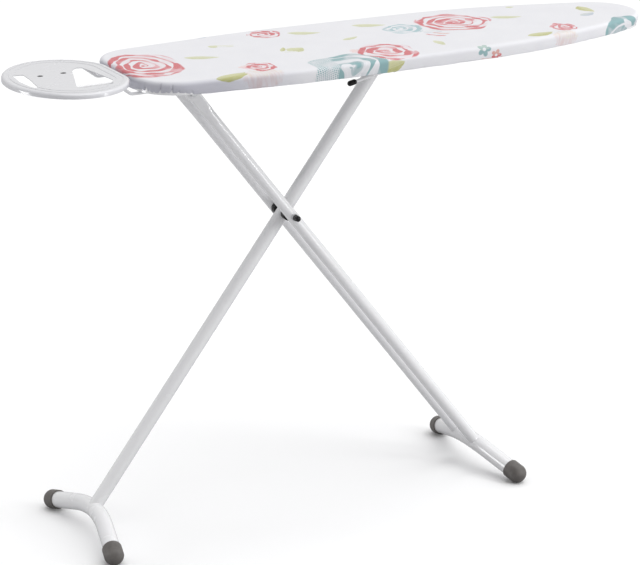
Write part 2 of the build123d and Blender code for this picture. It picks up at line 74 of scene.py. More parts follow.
# ---- node graphs ----
class Graph:
    """Short names for the shader nodes used below, for a material or the world."""

    def __init__(self, owner):
        owner.use_nodes = True
        self.owner = owner
        self.tree = owner.node_tree

    def node(self, kind, **settings):
        made = self.tree.nodes.new(kind)
        for key, value in settings.items():
            setattr(made, key, value)
        return made

    def put(self, socket, value):
        if isinstance(value, bpy.types.NodeSocket):
            self.tree.links.new(value, socket)
        elif value is not None:
            socket.default_value = value

    def math(self, operation, *values, clamp=False):
        made = self.node("ShaderNodeMath", operation=operation, use_clamp=clamp)
        for socket, value in zip(made.inputs, values):
            self.put(socket, value)
        return made.outputs[0]

    def add(self, a, b):
        return self.math("ADD", a, b)

    def sub(self, a, b):
        return self.math("SUBTRACT", a, b)

    def mul(self, a, b, clamp=False):
        return self.math("MULTIPLY", a, b, clamp=clamp)

    def vector(self, operation, a, b=None, output=0):
        made = self.node("ShaderNodeVectorMath", operation=operation)
        self.put(made.inputs[0], a)
        if operation == "SCALE":
            self.put(made.inputs["Scale"], b)
        else:
            self.put(made.inputs[1], b)
        return made.outputs[output]

    def split(self, vector):
        made = self.node("ShaderNodeSeparateXYZ")
        self.put(made.inputs[0], vector)
        return made.outputs

    def join(self, x, y, z):
        made = self.node("ShaderNodeCombineXYZ")
        for socket, value in zip(made.inputs, (x, y, z)):
            self.put(socket, value)
        return made.outputs[0]

    def attribute(self, name, output="Vector"):
        return self.node("ShaderNodeAttribute", attribute_name=name).outputs[output]

    def place(self):
        return self.node("ShaderNodeTexCoord").outputs["Object"]

    def noise(self, vector, scale, detail=2.0, output="Fac"):
        made = self.node("ShaderNodeTexNoise")
        self.put(made.inputs["Vector"], vector)
        made.inputs["Scale"].default_value = scale
        made.inputs["Detail"].default_value = detail
        return made.outputs[output]

    def spread(self, value, low, high, to_low=0.0, to_high=1.0):
        made = self.node("ShaderNodeMapRange", clamp=True)
        for name, number in (("Value", value), ("From Min", low), ("From Max", high),
                             ("To Min", to_low), ("To Max", to_high)):
            self.put(made.inputs[name], number)
        return made.outputs[0]

    def mix(self, factor, a, b):
        made = self.node("ShaderNodeMix", data_type="RGBA")
        for index, value in ((0, factor), (6, a), (7, b)):
            self.put(made.inputs[index], value)
        return made.outputs[2]

    def bump(self, height, distance, strength=1.0):
        made = self.node("ShaderNodeBump")
        made.inputs["Strength"].default_value = strength
        made.inputs["Distance"].default_value = distance
        self.put(made.inputs["Height"], height)
        return made.outputs[0]

    def finish(self, **sockets):
        shader = self.tree.nodes["Principled BSDF"]
        for name, value in sockets.items():
            self.put(shader.inputs[name.replace("_", " ")], value)
        return self.owner


def material_graph(name):
    return Graph(bpy.data.materials.new(name))


def rgb(red, green, blue):
    return (red, green, blue, 1.0)


def paint(name, colour, shade, rough):
    """Powder coat: faint mottling, a fine orange peel and a roughness that drifts."""
    g = material_graph(name)
    place = g.place()
    tone = g.noise(place, 9.0, 3.0)
    fine = g.noise(place, 1400.0, 1.0)
    drift = g.noise(place, 30.0, 2.0)
    return g.finish(
        Base_Color=g.mix(g.spread(tone, 0.35, 0.7), rgb(*colour), rgb(*shade)),
        Roughness=g.spread(drift, 0.3, 0.7, rough - 0.04, rough + 0.05),
        Coat_Weight=0.9, Coat_Roughness=0.07,
        Normal=g.bump(fine, 0.000004),
    )


def metal(name, colour, rough):
    """Plated steel with fine drawn lines and a slightly uneven finish."""
    g = material_graph(name)
    place = g.place()
    lines = g.noise(g.vector("MULTIPLY", place, (60.0, 900.0, 60.0)), 1.0, 2.0)
    dull = g.noise(place, 120.0, 3.0)
    dark = rgb(*[c * 0.7 for c in colour])
    return g.finish(
        Base_Color=g.mix(g.spread(dull, 0.3, 0.75), rgb(*colour), dark), Metallic=1.0,
        Roughness=g.spread(dull, 0.3, 0.7, rough, rough + 0.15), Normal=g.bump(lines, 0.00003),
    )


def plastic(name, colour, rough, grain, depth, gloss=0.5):
    """Moulded plastic: fine grain, with a faint change of tone."""
    g = material_graph(name)
    place = g.place()
    tone = g.noise(place, 60.0, 2.0)
    light = rgb(*[min(1.0, c * 1.25 + 0.004) for c in colour])
    return g.finish(
        Base_Color=g.mix(g.spread(tone, 0.35, 0.7), rgb(*colour), light),
        Roughness=g.spread(tone, 0.3, 0.7, rough, rough + 0.08), Specular_IOR_Level=gloss,
        Normal=g.bump(g.noise(place, grain, 2.0), depth),
    )


def rubber(name):
    """Grey rubber: matt and finely pitted, with paler dust in patches.

    The studs on the iron rest, the only rubber above half a metre, are nearly black.
    """
    g = material_graph(name)
    place = g.place()
    pits = g.noise(place, 1500.0, 3.0)
    dust = g.noise(place, 70.0, 4.0)
    grey = g.mix(g.spread(dust, 0.4, 0.75), rgb(0.105, 0.096, 0.090), rgb(0.15, 0.14, 0.133))
    return g.finish(
        Base_Color=g.mix(g.spread(g.split(place)[2], 0.5, 0.6), grey, rgb(0.006, 0.006, 0.007)),
        Roughness=g.spread(dust, 0.3, 0.7, 0.42, 0.55), Specular_IOR_Level=0.45,
        Normal=g.bump(pits, 0.00008),
    )


def foam(name):
    """Pale open-celled foam."""
    g = material_graph(name)
    cells = g.node("ShaderNodeTexVoronoi")
    g.put(cells.inputs["Vector"], g.place())
    cells.inputs["Scale"].default_value = 900.0
    return g.finish(
        Base_Color=g.mix(g.noise(g.place(), 300.0), rgb(0.78, 0.78, 0.74), rgb(0.66, 0.66, 0.62)),
        Roughness=0.95, Normal=g.bump(cells.outputs["Distance"], 0.0006),
    )


def elastic(name):
    """Knitted elastic: ribs along the tape."""
    g = material_graph(name)
    ribs = g.math("SINE", g.mul(g.split(g.place())[2], 9000.0))
    knit = g.noise(g.place(), 1200.0, 1.0)
    return g.finish(
        Base_Color=g.mix(g.spread(knit, 0.4, 0.6), rgb(0.80, 0.80, 0.82), rgb(0.62, 0.62, 0.66)),
        Roughness=0.85, Normal=g.bump(g.add(ribs, knit), 0.0002),
    )


CLOTH_WHITE = rgb(0.775, 0.775, 0.80)
CLOTH_SHADE = rgb(0.75, 0.75, 0.78)
WEAVE_SCALE = 7000.0           # radians a metre, which makes 0.45 mm from thread to thread
PAINTED_SHADE_TINT = (0.70, 0.70, 0.75)              # painted shade: what is left of the cloth's colour where the skirt is darkened towards the tail


def weave(g, cloth):
    """Plain weave, as a height from 0 to 1."""
    u, v, _ = g.split(g.vector("SCALE", cloth, WEAVE_SCALE))
    over = g.mul(g.math("SINE", u), g.math("SINE", v))
    return g.add(g.mul(over, 0.5), 0.5)


def rose_print(g):
    """Brush strokes in uneven rings that leave each other gaps: how much ink, and how light."""
    u, v, seed = g.split(g.attribute("rose"))
    rings = g.attribute("rose_rings", "Fac")
    drift = g.noise(g.join(u, v, seed), 1.6, 1.0, "Color")
    shift = g.vector("SCALE", g.vector("SUBTRACT", drift, (0.5, 0.5, 0.5)), 0.26)
    x, y, _ = g.split(g.vector("ADD", g.join(u, v, 0.0), shift))
    reach = g.math("SQRT", g.add(g.mul(x, x), g.mul(y, y)))
    turn = g.math("ARCTAN2", y, x)
    petal = g.math("SINE", g.add(g.mul(turn, 3.0), seed))
    ring = g.add(g.sub(g.mul(reach, rings), g.mul(turn, 1 / (2 * math.pi))), g.mul(petal, 0.12))
    across = g.math("ABSOLUTE", g.sub(g.math("FRACT", ring), 0.5))
    swell = g.noise(g.join(g.mul(x, 1.4), g.mul(y, 1.4), g.add(seed, 4.0)), 1.35, 1.0)
    width = g.add(g.spread(swell, 0.38, 0.58, 0.09, 0.43), g.spread(reach, 0.66, 0.90, 0.0, 0.10))
    sharp = g.math("DIVIDE", 62.0, rings)
    stroke = g.math("ADD", g.mul(g.sub(width, across), sharp), 0.5, clamp=True)
    rim = g.add(g.mul(g.math("SINE", g.add(g.mul(turn, 5.0), seed)), 0.05), 0.93)
    inside = g.mul(g.sub(rim, reach), 26.0, clamp=True)
    dots = g.vector("FRACTION", g.vector("SCALE", g.join(x, y, 0.0), 21.0))
    spot = g.vector("LENGTH", g.vector("SUBTRACT", dots, (0.5, 0.5, 0.0)), output=1)
    dotted = g.mul(g.spread(g.add(x, g.mul(y, -0.35)), -0.30, -0.36), g.attribute("rose_tint", "Alpha"))
    spot = g.mul(g.sub(0.42, spot), 14.0, clamp=True)
    ink = g.add(g.mul(stroke, g.sub(1.0, dotted)), g.mul(spot, dotted))
    tone = g.noise(g.join(x, y, g.add(seed, 9.0)), 2.4, 2.0)
    wash = g.mul(g.spread(tone, 0.42, 0.60, 0.0, 0.30), g.spread(across, 0.5, 0.42))
    light = g.spread(g.add(tone, g.mul(g.sub(width, across), -0.25)), 0.44, 0.60)
    return g.mul(inside, g.math("MAXIMUM", ink, wash)), light


def mark_print(g):
    """Leaves (kind 1), small flowers (2), blush patches (3) and pairs of thin twigs (4)."""
    u, v, kind = g.split(g.attribute("mark"))
    flat = g.join(u, v, kind)
    rough = g.sub(g.noise(flat, 3.0, 2.0), 0.5)
    long = g.math("MAXIMUM", g.sub(1.0, g.mul(u, u)), 0.0)
    half = g.mul(g.math("POWER", long, 0.8), g.sub(0.92, g.mul(u, 0.3)))
    bent = g.add(g.sub(v, g.mul(g.mul(u, u), 0.25)), g.mul(rough, 0.25))
    leaf = g.mul(g.sub(half, g.math("ABSOLUTE", bent)), 9.0, clamp=True)
    vein = g.mul(g.sub(0.10, g.math("ABSOLUTE", bent)), 12.0, clamp=True)
    reach = g.math("SQRT", g.add(g.mul(u, u), g.mul(v, v)))
    turn = g.math("ARCTAN2", v, u)
    petals = g.add(0.52, g.mul(g.math("ABSOLUTE", g.math("COSINE", g.mul(turn, 2.5))), 0.42))
    flower = g.mul(g.mul(g.sub(petals, reach), 9.0, clamp=True), g.mul(g.sub(reach, 0.17), 12.0, clamp=True))
    streaks = g.noise(g.join(g.mul(u, 7.0), g.mul(v, 1.3), 3.0), 1.0, 3.0)
    blush = g.mul(g.sub(g.add(0.92, g.mul(rough, 0.9)), reach), 5.0, clamp=True)
    blush = g.mul(blush, g.spread(streaks, 0.35, 0.65, 0.25, 0.95))
    twig = g.math("ABSOLUTE", g.sub(g.math("ABSOLUTE", bent), 0.4))
    twig = g.mul(g.mul(g.sub(0.16, twig), 9.0, clamp=True), g.spread(long, 0.0, 0.3))
    ink = 0.0
    for number, shape in ((1, leaf), (2, flower), (3, blush), (4, twig)):
        same = g.math("COMPARE", kind, float(number), 0.4)
        ink = g.add(ink, g.mul(shape, same))
    light = g.add(g.mul(g.spread(g.add(bent, rough), -0.1, 0.25), 0.7), g.mul(vein, 0.5))
    return g.mul(ink, g.spread(rough, -0.3, 0.1, 0.8, 1.0)), g.math("MINIMUM", light, 1.0)


def cover_cloth(name):
    """White printed cotton: roses, leaves and small flowers over a plain weave, with painted shade on the
    shoulder and skirt towards the tail.
    """
    g = material_graph(name)
    cloth = g.attribute("cloth")
    threads = weave(g, cloth)
    mottle = g.noise(cloth, 14.0, 3.0)
    base = g.mix(g.spread(mottle, 0.3, 0.7), CLOTH_WHITE, CLOTH_SHADE)
    mark, mark_light = mark_print(g)
    tint = g.attribute("mark_tint", "Color")
    colour = g.mix(g.mul(mark_light, 0.45), tint, rgb(0.78, 0.78, 0.60))
    base = g.mix(mark, base, colour)
    rose, rose_light = rose_print(g)
    tint = g.attribute("rose_tint", "Color")
    colour = g.mix(g.mul(rose_light, 0.42), tint, rgb(0.84, 0.76, 0.80))
    base = g.mix(rose, base, colour)
    base = g.mix(g.mul(threads, 0.06), base, rgb(0.62, 0.62, 0.68))
    # painted shade: the shoulder and skirt darkened towards the tail, standing in for the shadow of gathered
    # cloth
    base = g.mix(g.attribute("painted_shade", "Fac"), base, g.vector("MULTIPLY", base, PAINTED_SHADE_TINT))
    return g.finish(
        Base_Color=base, Roughness=0.86, Sheen_Weight=0.25, Sheen_Roughness=0.4,
        Specular_IOR_Level=0.3, Normal=g.bump(threads, 0.00012, 0.7),
    )


MATERIALS = {
    "white_paint": paint("white_paint", (0.83, 0.83, 0.84), (0.815, 0.815, 0.83), 0.24),
    "mesh_paint": paint("mesh_paint", (0.70, 0.705, 0.73), (0.62, 0.625, 0.65), 0.38),
    "rest_paint": paint("rest_paint", (0.69, 0.69, 0.715), (0.67, 0.67, 0.70), 0.24),
    "zinc_steel": metal("zinc_steel", (0.70, 0.71, 0.72), 0.28),
    "black_steel": plastic("black_steel", (0.004, 0.004, 0.005), 0.16, 700.0, 0.00002, 0.35),
    "black_plastic": plastic("black_plastic", (0.003, 0.003, 0.0035), 0.12, 900.0, 0.00001, 0.3),
    "white_nylon": plastic("white_nylon", (0.80, 0.80, 0.78), 0.40, 800.0, 0.00003),
    "grey_rubber": rubber("grey_rubber"),
    "foam": foam("foam"),
    "cover_cloth": cover_cloth("cover_cloth"),
    "elastic": elastic("elastic"),
}
for part in frame["record"]["subparts"]:
    mesh = NODES[part["node"]].data
    mesh.materials.clear()
    mesh.materials.append(MATERIALS[part["material_slot"]])


# ---- the board's outline, read from the cover's solid ----
FINE = 6000                    # steps of the fine outline that the columns are picked from
SMOOTHING = 61                 # fine steps in the window that rounds the hull's corners
BEND_WINDOW = 301              # fine steps over which the bend is averaged
FULL_BEND = 9.0                # bend, in radians a metre, that counts as fully curved


def smoothed(line):
    """The half outline, smoothed as one closed line with its mirror image."""
    whole = np.vstack([line, line[-2:0:-1] * [1, -1]])
    window = np.hanning(SMOOTHING)
    edge = SMOOTHING - 1
    padded = np.vstack([whole[-edge:], whole, whole[:edge]])
    smooth = [np.convolve(padded[:, k], window[1:-1] / window.sum(), "same")[edge:-edge] for k in (0, 1)]
    line = np.stack(smooth, 1)[:FINE + 1]
    line[0, 1] = line[-1, 1] = 0.0
    return line


def board_half(count):
    """The far half of the outline, from the nose's tip to the tail's middle, closer together in the bends.

    Gives points, outward normals, distance along and how curved the outline is, from 0 to 1.
    """
    points = [(v.co.x, v.co.y) for v in NODES["cover"].data.vertices]
    hull = np.array([points[i] for i in convex_hull_2d([Vector(p) for p in points])])
    if np.cross(hull[1] - hull[0], hull[2] - hull[1]) < 0:
        hull = hull[::-1]
    start = int(np.argmax(hull[:, 0]))
    hull = np.roll(hull, -start, axis=0)
    far = hull[: int(np.argmin(hull[:, 0] + 0.001 * np.abs(hull[:, 1]))) + 1]
    far = far[far[:, 1] > 0.0]
    nose, tail = hull[:, 0].max(), hull[:, 0].min()
    far = np.vstack([[nose, 0.0], far, [tail, 0.0]])
    far = far[np.append(True, np.linalg.norm(np.diff(far, axis=0), axis=1) > 1e-6)]
    along = np.append(0.0, np.cumsum(np.linalg.norm(np.diff(far, axis=0), axis=1)))
    steps = np.arange(FINE + 1)
    fine = np.linspace(0, along[-1], FINE + 1)
    line = smoothed(np.stack([np.interp(fine, along, far[:, k]) for k in (0, 1)], 1))
    heading = np.gradient(line, axis=0)
    heading /= np.linalg.norm(heading, axis=1)[:, None]
    turn = np.unwrap(np.arctan2(heading[:, 1], heading[:, 0]))
    bend = np.abs(np.gradient(turn) / (fine[1] - fine[0]))
    half = BEND_WINDOW // 2
    padded = np.pad(bend, half, mode="edge")
    bend = np.convolve(padded, np.ones(BEND_WINDOW) / BEND_WINDOW, "same")[half:-half]
    curved = np.clip(bend / FULL_BEND, 0, 1)
    weight = np.cumsum(1.0 + 1.3 * curved)
    weight = (weight - weight[0]) / (weight[-1] - weight[0])
    picks = np.interp(np.linspace(0, 1, count + 1), weight, steps)
    values = (line[:, 0], line[:, 1], heading[:, 1], -heading[:, 0], fine, curved)
    x, y, out_x, out_y, along, curved = [np.interp(picks, steps, value) for value in values]
    return np.stack([x, y], 1), np.stack([out_x, out_y], 1), along, curved


def full_ring(count):
    """Outline, outward normals, distance along and curvature right round, mirrored about the middle."""
    line, normal, along, curved = board_half(count)
    inner = slice(count - 1, 0, -1)
    flip = np.array([1.0, -1.0])
    length = 2 * along[-1]
    return (np.vstack([line, line[inner] * flip]), np.vstack([normal, normal[inner] * flip]),
            np.append(along, length - along[inner]), np.append(curved, curved[inner]), length)


COLUMNS = 520                  # on each side of the middle
EDGE, NORMAL, ALONG, CURVED, ROUND = full_ring(COLUMNS)
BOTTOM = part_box("cover")[0].z
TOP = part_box("cover")[1].z
SPINE_TAIL, SPINE_NOSE = 0.13, 0.08            # gaps between the spine's ends and the outline's


def spine_of(edge):
    """The point of the board's middle line that each point of the edge is joined to."""
    low, high = EDGE[:, 0].min(), EDGE[:, 0].max()
    share = (edge[:, 0] - low) / (high - low)
    spine_long = high - low - SPINE_TAIL - SPINE_NOSE
    return np.stack([low + SPINE_TAIL + share * spine_long, np.zeros(len(edge))], 1)


def new_mesh(name, points, faces, material):
    """A smooth-shaded object in the scene."""
    mesh = bpy.data.meshes.new(name)
    mesh.from_pydata([tuple(p) for p in points], [], faces)
    mesh.validate()
    made = bpy.data.objects.new(name, mesh)
    collection.objects.link(made)
    mesh.materials.append(material)
    mesh.polygons.foreach_set("use_smooth", [True] * len(mesh.polygons))
    return made


def lattice(rows, columns, closed_rows=False):
    """Quads of a grid that closes round its columns, and over its rows too if closed_rows is set."""
    faces = []
    last = rows if closed_rows else rows - 1
    for r in range(last):
        a, b = r * columns, (r + 1) % rows * columns
        for c in range(columns):
            d = (c + 1) % columns
            faces.append((a + c, b + c, b + d, a + d))
    return faces


# ---- gathers ----
CREASE_DEPTH = 0.0029          # of a gather of middling strength in a bend


def crease_field():
    """The gathers that the hem's elastic pulls in: a list of (place, half-width, depth, reach, slant)."""
    creases, place = [], 0.004
    while place < ROUND:
        bend = float(np.interp(place, ALONG, CURVED))
        step = rng.uniform(0.007, 0.015) * (1.0 + 3.2 * (1 - bend) * rng.uniform(0.5, 1.5))
        half = rng.uniform(0.0012, 0.0023)
        depth = (0.25 + 0.75 * bend) * rng.uniform(0.5, 1.35) * CREASE_DEPTH
        reach = rng.uniform(0.35, 1.0) * (0.5 + 0.5 * bend)
        creases.append((place, half, depth, reach, rng.uniform(-0.35, 0.35)))
        place += step
    return creases


CREASES = crease_field()


def gather(along, down):
    """How far the cloth is pulled in, for arrays of distance round and share of the way down the skirt."""
    pull = np.zeros(np.broadcast(along, down).shape)
    for place, half, depth, reach, slant in CREASES:
        away = (along - place - slant * (1 - down) * 0.02 + ROUND / 2) % ROUND - ROUND / 2
        near = np.abs(away) < 4 * half
        if near.any():
            fade = np.clip((down - (1 - reach)) / 0.45, 0, 1)
            pull += near * depth * np.exp(-(away / half) ** 2) * fade * fade * (3 - 2 * fade)
    return pull


FULL_TURN = 6.28               # near enough 2 pi


def swell(x, y, scale, seed):
    """Smooth unevenness from a few crossed waves, from about -1 to 1."""
    draws = np.random.default_rng(seed)
    total = 0.0
    for _ in range(7):
        angle, pitch, phase = draws.uniform(0, math.pi), draws.uniform(0.6, 1.7), draws.uniform(0, FULL_TURN)
        across = x * math.cos(angle) + y * math.sin(angle)
        total = total + np.sin(across * FULL_TURN / (scale * pitch) + phase)
    return total / 4.0


# ---- cover ----
SHOULDER = 0.0090              # radius of the padded edge
SQUARED = 0.9                  # power that makes the shoulder a little squarer than round
CROWN = 0.0008                 # drop of the top before the shoulder starts
TUCK = 0.0015                  # how far the elastic draws the skirt's foot in
BEND_TUCK = 0.0035             # how much further in the bends
BEND_LIFT = 0.0016             # how far it lifts the foot there
ROLL = 0.0018                  # radius at the skirt's foot
HEM = 0.0080                   # turned under
BEAD = 0.0011                  # casing of the elastic at the hem's edge
FOAM_GAP = 0.0020              # between the foam and the cloth's surface
SKIRT = TOP - SHOULDER - BOTTOM - ROLL
PAINTED_SHADE_FROM, PAINTED_SHADE_OVER = -0.15, 0.17       # x where the painted shade on the shoulder and skirt starts, and how far on it is full
QUARTER = math.pi / 2          # a right angle


def cover_rows():
    """The cover's profile from the spine to the hem's edge, as (stretch, how far along it)."""
    rows = [("top", t) for t in np.linspace(0, 1, 47) ** 0.92]
    rows += [("round", a) for a in np.linspace(0, QUARTER, 8)[1:]]
    rows += [("skirt", t) for t in np.linspace(0, 1, 12)[1:]]
    rows += [("roll", a) for a in np.linspace(0, QUARTER, 5)[1:]]
    rows += [("hem", t) for t in np.linspace(0, 1, 6)[1:]]
    rows += [("bead", a) for a in np.linspace(0, 3 * QUARTER, 7)[1:]]
    return rows


def side_row(kind, t):
    """A row below the top: how far past the edge, how high, cloth length so far, share of the way down."""
    tuck, lift = TUCK + BEND_TUCK * CURVED, BEND_LIFT * CURVED
    foot = SHOULDER * QUARTER + SKIRT
    if kind == "round":
        out = math.sin(t) ** SQUARED * SHOULDER - SHOULDER
        z = TOP - CROWN - (1 - math.cos(t) ** SQUARED) * (SHOULDER - CROWN)
        return out, z, SHOULDER * t, 0.25 * t
    if kind == "skirt":
        z = TOP - SHOULDER - t * (SKIRT - lift)
        return -tuck * t * t, z, SHOULDER * QUARTER + t * SKIRT, 0.25 + 0.75 * t
    if kind == "roll":
        z = BOTTOM + lift + ROLL - math.sin(t) * ROLL
        return (math.cos(t) - 1) * ROLL - tuck, z, foot + ROLL * t, 1.0
    foot += ROLL * QUARTER
    if kind == "hem":
        return -ROLL - tuck - t * HEM, BOTTOM + lift * (1 - t), foot + t * HEM, 1.0
    out = -ROLL - tuck - HEM - math.sin(t) * BEAD
    return out, BOTTOM + BEAD - math.cos(t) * BEAD, foot + HEM + BEAD * t, 1.0


TOP_WAVE, TOP_DROP = 0.00035, 0.00045          # the top's waves, and how far they lie below the box
RIM_DROP = 0.0004              # how far the top falls towards the shoulder
PUFF = 0.0004                  # unevenness of the skirt, besides its gathers
BEND_PUFF = 0.00035            # how much fuller it is in the bends
RIPPLE = 0.0004                # of the skirt's foot


def top_points(spine, t):
    """A ring of the top, with the slight waves of cloth pulled over foam."""
    flat = spine + (EDGE - NORMAL * SHOULDER - spine) * t
    waves = swell(flat[:, 0], flat[:, 1], 0.11, 3) * TOP_WAVE - TOP_DROP
    z = TOP + waves * min(1.0, 2 * t + 0.3) - RIM_DROP * t ** 6
    return np.column_stack([flat, z]), flat, 0.0


def side_points(kind, t):
    """A ring of the shoulder, skirt or hem, pulled in at the gathers."""
    out, z, arc, down = side_row(kind, t)
    pull = gather(ALONG, down)
    puff = swell(ALONG, down * 0.02, 0.055, 5) * PUFF * down
    share = {"round": t / 1.6, "skirt": 1.0, "roll": 1.0}.get(kind, max(0.0, 1.0 - t))
    flat = EDGE + NORMAL * (out - (pull - BEND_PUFF * CURVED + puff) * share)[:, None]
    z = np.broadcast_to(z, len(EDGE))
    if kind in ("roll", "hem", "bead"):
        ripple = RIPPLE * (swell(ALONG, 0 * ALONG, 0.03, 8) + 1)
        z = z + pull * (0.2 if kind == "roll" else 0.9) + ripple
    return np.column_stack([flat, z]), EDGE + NORMAL * (arc - SHOULDER), arc


def make_cover():
    """The cover's mesh, and where each of its points lies on the flat cloth."""
    spine, count = spine_of(EDGE), len(EDGE)
    # painted shade: how far towards the tail the skirt is darkened
    tail = np.clip((PAINTED_SHADE_FROM - EDGE[:, 0]) / PAINTED_SHADE_OVER, 0, 1)
    points, cloth, painted_shade = [], [], []
    for kind, t in cover_rows():
        ring, where, arc = top_points(spine, t) if kind == "top" else side_points(kind, t)
        points.append(ring)
        cloth.append(np.column_stack([where, np.full(count, arc)]))
        # painted shade: none on the top, rising over the shoulder, full on the skirt and hem
        painted_shade.append(tail * {"top": 0.0, "round": t / QUARTER}.get(kind, 1.0))
    rows = len(points)
    verts = np.vstack(points)
    flat_cloth = np.vstack(cloth)
    first = np.arange(count)
    keep = np.arange(len(verts))
    keep[:count] = np.minimum(first, (count - first) % count)     # the spine's two sides share their points
    faces = []
    for face in lattice(rows, count):
        ring = []
        for index in face:
            k = int(keep[index])
            if k not in ring:
                ring.append(k)
        if len(ring) > 2:
            faces.append(ring[::-1])
    used = sorted({k for face in faces for k in face})
    again = {k: n for n, k in enumerate(used)}
    faces = [[again[k] for k in face] for face in faces]
    made = new_mesh("cover_sheet", verts[used], faces, MATERIALS["cover_cloth"])
    # stores the painted shade for the cloth's material
    made.data.attributes.new("painted_shade", "FLOAT", "POINT").data.foreach_set("value", np.hstack(painted_shade)[used])
    return made, flat_cloth[used]


# ---- print: where each motif lies, in millimetres on the cloth with its skirt laid out flat ----
CORAL, TEAL, PINK = (0.60, 0.15, 0.165), (0.25, 0.41, 0.425), (0.76, 0.40, 0.42)
GREEN, OLIVE, MOSS = (0.53, 0.54, 0.28), (0.48, 0.48, 0.19), (0.57, 0.58, 0.36)
BLUSH, MIST, FROST = (0.70, 0.58, 0.58), (0.48, 0.53, 0.60), (0.36, 0.52, 0.55)
ROSES = [                      # x, y, radius, depth to width, turn, seed, tint, dotted, rings
    (-396, 4, 75, 1.35, 0.4, 1.3, CORAL, 0, 4.6), (-90.5, 125, 35, 1.0, 1.0, 5.1, CORAL, 0, 2.6),
    (-214, -109, 32, 1.15, 2.0, 8.7, CORAL, 0, 2.6), (-56, -174, 85, 1.0, 0.2, 3.4, TEAL, 1, 2.9),
    (50, -110, 59, 1.15, 1.4, 6.2, CORAL, 0, 3.3), (165.5, 38, 43, 1.0, 0.7, 9.9, FROST, 0, 3.2),
    (279.5, 45, 78, 1.02, 2.6, 2.2, CORAL, 0, 4.2), (446.5, -91, 27, 1.2, 0.3, 7.5, CORAL, 0, 2.6),
    (597, -124, 62, 1.0, 1.1, 4.6, TEAL, 0, 2.2),
]
MARKS = [                      # kind, x, y, half-length, half-width, direction in degrees, tint
    (1, -277.5, 5, 34, 13, -25, MOSS), (1, -218.5, 77, 12, 10, -20, MOSS),
    (4, -200.5, 72, 20, 12, -25, MOSS), (1, -94, -20, 19, 20, 15, GREEN),
    (1, -115.5, -6, 17, 6, 60, OLIVE), (4, -108.5, -30, 16, 6, -10, MOSS),
    (1, -18.5, 97, 33, 13, -23, MOSS), (1, -281, -146, 42, 15, 12, OLIVE),
    (3, -233.5, -160, 44, 42, 0, BLUSH), (1, -204.5, 160, 14, 9, 0, MIST),
    (1, 31, -182, 26, 15, 12, OLIVE), (1, 38.5, 14, 21, 8, 20, MOSS),
    (1, 121.5, 96, 34, 13, -23, MOSS), (4, 199.5, -32, 22, 24, -50, CORAL),
    (4, 203, -10, 20, 14, -10, MIST), (1, 170, -97, 9, 22, 0, MOSS),
    (2, 228, -166, 17, 17, 0, TEAL), (2, 256, -179, 14, 13, 0, CORAL),
    (4, 247.5, -187, 26, 6, 3, CORAL), (1, 378, -126, 33, 15, 8, OLIVE),
    (3, 426, -143, 34, 28, 0, BLUSH), (1, 565, 19, 29, 15, -86, OLIVE),
    (1, 547, -22, 20, 12, 20, MIST), (1, 392, 32, 32, 13, -25, MOSS),
    (1, 444.5, 106, 9, 7, -20, MOSS), (3, 1.5, -86, 15, 22, 30, PINK),
    (3, -236.5, -98, 16, 14, 0, PINK),
]
MARGIN = 1.18                  # how far past its rim a motif's faces reach, for its wavering outline
NO_ROSE_RINGS = 4.0            # for the faces that are in no rose


def within(points, x, y, long, wide, deep, turn):
    """Where points lie in a motif, along its own directions and with its rim at 1."""
    c, s = math.cos(turn), math.sin(turn)
    across, up = points[:, 0] - x, (points[:, 1] - y) / deep
    return np.stack([(across * c + up * s) / long, (up * c - across * s) / wide], 1)


def print_attributes(piece, cloth):
    """Gives each face the motif it lies in, as coordinates within that motif at its corners."""
    mesh = piece.data
    loops = np.zeros(len(mesh.loops), np.int32)
    mesh.loops.foreach_get("vertex_index", loops)
    starts = np.zeros(len(mesh.polygons), np.int32)
    sizes = np.zeros(len(mesh.polygons), np.int32)
    mesh.polygons.foreach_get("loop_start", starts)
    mesh.polygons.foreach_get("loop_total", sizes)
    face_of = np.repeat(np.arange(len(sizes)), sizes)
    corner = cloth[loops, :2] * 1000.0
    middle = np.add.reduceat(corner, starts, axis=0) / sizes[:, None]

    def lay(name, motifs, rounded):
        """Gives each face its nearest motif, and its corners their place in it, 1 at the motif's rim."""
        best = np.full(len(sizes), MARGIN)
        chosen = np.full(len(sizes), -1)
        local = np.full((len(loops), 3), 9.0)
        tint = np.zeros((len(loops), 4))
        for index, (place, code, colour, extra) in enumerate(motifs):
            inside = within(middle, *place)
            size = np.linalg.norm(inside, axis=1) if rounded else np.abs(inside).max(1)
            hit = size < best
            best[hit], chosen[hit] = size[hit], index
            mine = hit[face_of]
            local[mine, :2] = within(corner[mine], *place)
            local[mine, 2] = code
            tint[mine] = (*colour, extra)
        mesh.attributes.new(name, "FLOAT_VECTOR", "CORNER").data.foreach_set("vector", local.ravel())
        mesh.attributes.new(name + "_tint", "FLOAT_COLOR", "CORNER").data.foreach_set("color", tint.ravel())
        return chosen

    roses = [((x, y, radius, radius, deep, turn), seed, tint, dotted)
             for x, y, radius, deep, turn, seed, tint, dotted, _ in ROSES]
    nearest = lay("rose", roses, rounded=True)
    rings = np.array([rose[-1] for rose in ROSES] + [NO_ROSE_RINGS])
    mesh.attributes.new("rose_rings", "FLOAT", "FACE").data.foreach_set("value", rings[nearest])
    marks = [((x, y, long, wide, 1.0, math.radians(turn)), kind, tint, 0.0)
             for kind, x, y, long, wide, turn, tint in MARKS]
    lay("mark", marks, rounded=False)
    mesh.attributes.new("cloth", "FLOAT_VECTOR", "POINT").data.foreach_set("vector", cloth.ravel())


cover, cover_cloth_at = make_cover()
print_attributes(cover, cover_cloth_at)
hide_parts("cover")
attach(cover, "board")


